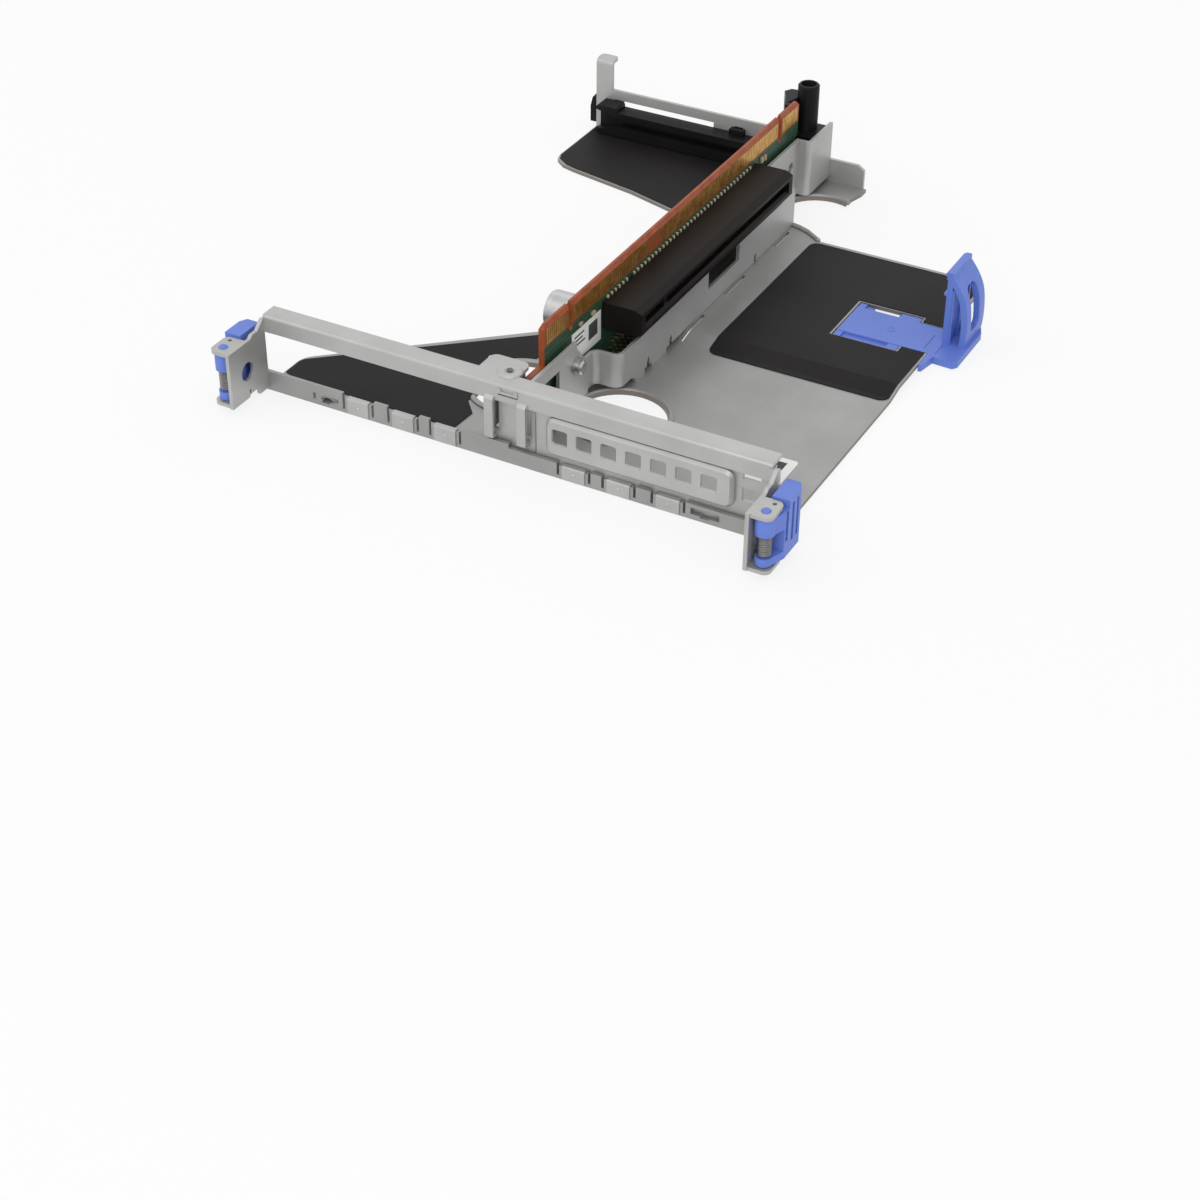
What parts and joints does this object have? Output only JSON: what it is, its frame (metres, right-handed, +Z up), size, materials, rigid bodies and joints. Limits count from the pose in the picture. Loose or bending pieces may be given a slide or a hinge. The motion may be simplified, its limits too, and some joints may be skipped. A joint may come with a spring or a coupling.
{
  "type": "riser card",
  "caption": "Server riser assembly: folded tray with slot panel, sprung side latches, edge-contact board with card slots on both faces, card guide, guide post and snap-in card holder.",
  "frame": {"origin": "middle of the slot panel's outer face, in the board's mid plane, level with the top face of the tray sheet", "axes": "+X along the slot panel towards the blanked slot, +Y into the machine along the board, +Z up from the tray towards the board's contact edge"},
  "size_m": [0.1551, 0.1939, 0.0313],
  "materials": {
    "zinc_steel": "zinc coated, satin",
    "spring_steel": "bright",
    "screw_steel": "bright zinc",
    "black_plastic": "matte moulded",
    "blue_plastic": "satin moulded",
    "connector_black": "matte moulded",
    "board_green": "solder mask, satin",
    "gold_plate": "gold plated",
    "can_aluminium": "satin",
    "chip_tan": "matte",
    "black_film": "matte film",
    "label_white": "matte, blank"
  },
  "bodies": {
    "assembly": {"tray": "zinc_steel", "slot_frame": "zinc_steel", "slot_blank": "zinc_steel", "contact_clips": "spring_steel", "riser_bracket": "zinc_steel", "end_bracket": "zinc_steel", "card_guide": "black_plastic", "guide_post": "black_plastic", "circuit_board": "board_green", "edge_contacts": "gold_plate", "upper_connector": "connector_black", "lower_connector": "connector_black", "upper_contacts": "gold_plate", "lower_contacts": "gold_plate", "capacitor_can": "can_aluminium", "capacitor_base": "connector_black", "chip_components": "chip_tan", "board_screw": "screw_steel", "end_screw": "screw_steel", "board_stud": "spring_steel", "frame_rivet": "spring_steel", "right_latch_spring": "spring_steel", "left_latch_spring": "spring_steel", "card_holder": "blue_plastic", "near_left_film": "black_film", "far_left_film": "black_film", "right_film": "black_film", "tray_label": "label_white", "board_label": "label_white", "port_label": "label_white"},
    "right_latch": {"right_latch": "blue_plastic"},
    "left_latch": {"left_latch": "blue_plastic"}
  },
  "joints": [
    {"name": "right_latch_hinge", "type": "hinge", "parent": "assembly", "child": "right_latch", "pos_m": [0.0734, -0.0122, 0.009], "axis": [0, 0, -1], "range_deg": [0, 70], "stiffness_Nm_per_rad": 0.004, "springref_deg": -11.46},
    {"name": "left_latch_hinge", "type": "hinge", "parent": "assembly", "child": "left_latch", "pos_m": [-0.0734, -0.0122, 0.009], "axis": [0, 0, 1], "range_deg": [0, 70], "stiffness_Nm_per_rad": 0.004, "springref_deg": -11.46}
  ]
}
